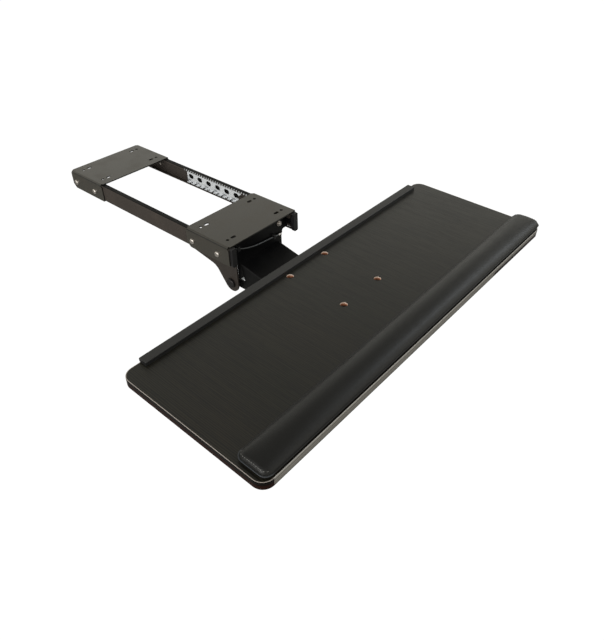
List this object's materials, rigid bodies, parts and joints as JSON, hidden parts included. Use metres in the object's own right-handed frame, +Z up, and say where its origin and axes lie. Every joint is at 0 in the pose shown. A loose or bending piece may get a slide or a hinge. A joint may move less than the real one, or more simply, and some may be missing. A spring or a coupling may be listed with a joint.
{
  "type": "under-desk keyboard tray",
  "caption": "Keyboard tray that slides under a desk on ball-bearing rails, with a hinged arm for height and tilt, a laminated board, a rear stop bar and a padded palm rest.",
  "frame": {"origin": "centre of the front desk bracket's top face, in the plane of the desk's underside", "axes": "+Z up towards the desk, +Y to the rear, +X to the right as the user sits"},
  "size_m": [0.66, 0.7446, 0.105],
  "materials": {
    "bracket_paint": "satin powder coat, warm dark grey",
    "arm_paint": "satin powder coat, warm dark grey",
    "link_paint": "satin powder coat, near black",
    "rail_paint": "smooth dark paint",
    "zinc": "bright zinc plate",
    "ball_steel": "polished steel balls",
    "black_steel": "black oxide fasteners",
    "black_moulding": "black moulded plastic",
    "cable_sheath": "black sheath",
    "board_core": "raw fibreboard in the holes",
    "laminate": "dark wood-grain laminate, satin",
    "edge_band": "dark edging, glossy",
    "front_band": "light beige-grey edging, glossy",
    "bar": "dark grey bar",
    "pad_base": "black base",
    "pad_leather": "black leatherette"
  },
  "bodies": {
    "desk_frame": {"front_bracket": "bracket_paint", "rear_bracket": "bracket_paint", "rail_screws": "zinc", "right_outer_rail": "rail_paint", "left_outer_rail": "rail_paint", "right_front_cap": "black_moulding", "left_front_cap": "black_moulding", "right_rear_plug": "black_moulding", "left_rear_plug": "black_moulding"},
    "left_cage": {"left_ball_cage": "zinc", "left_cage_balls": "ball_steel"},
    "right_cage": {"right_ball_cage": "zinc", "right_cage_balls": "ball_steel"},
    "carriage": {"right_inner_rail": "rail_paint", "left_inner_rail": "rail_paint", "left_arm": "arm_paint", "right_arm": "arm_paint", "slide_rivets": "zinc", "cross_plate": "link_paint", "plate_bolt": "zinc", "plate_nut": "zinc", "release_cable": "cable_sheath", "cable_clips": "black_moulding", "cable_ferrules": "zinc", "lift_bolt": "black_steel", "lift_nut": "black_steel", "lift_spacers": "black_moulding"},
    "link": {"lift_link": "link_paint", "lift_tube": "zinc", "tilt_tube": "zinc"},
    "tray": {"tilt_bolt": "black_steel", "tilt_nut": "black_steel", "tilt_washers": "black_moulding", "tilt_yoke": "link_paint", "tray_plate": "link_paint", "board_core": "board_core", "top_laminate": "laminate", "bottom_laminate": "laminate", "front_edge_band": "front_band", "side_edge_band": "edge_band", "tray_screws": "black_steel", "tray_nuts": "zinc", "stop_bar": "bar", "stop_screws": "zinc", "palm_base": "pad_base", "palm_pad": "pad_leather", "palm_screws": "zinc"}
  },
  "joints": [
    {"name": "tray_slide", "type": "slide", "parent": "desk_frame", "child": "carriage", "axis": [0, 1, 0], "range_m": [0, 0.044]},
    {"name": "left_cage_roll", "type": "slide", "parent": "desk_frame", "child": "left_cage", "axis": [0, 1, 0], "range_m": [0, 0.022]},
    {"name": "right_cage_roll", "type": "slide", "parent": "desk_frame", "child": "right_cage", "axis": [0, 1, 0], "range_m": [0, 0.022]},
    {"name": "height_adjust", "type": "hinge", "parent": "carriage", "child": "link", "pos_m": [0, -0.0206, -0.0894], "axis": [1, 0, 0], "range_deg": [0, 25]},
    {"name": "tray_tilt", "type": "hinge", "parent": "link", "child": "tray", "pos_m": [0, -0.16199, -0.08596], "axis": [1, 0, 0], "range_deg": [-25, 10]}
  ],
  "couplings": [
    {"joint": "left_cage_roll", "follows": "tray_slide", "ratio": 0.5},
    {"joint": "right_cage_roll", "follows": "tray_slide", "ratio": 0.5}
  ]
}
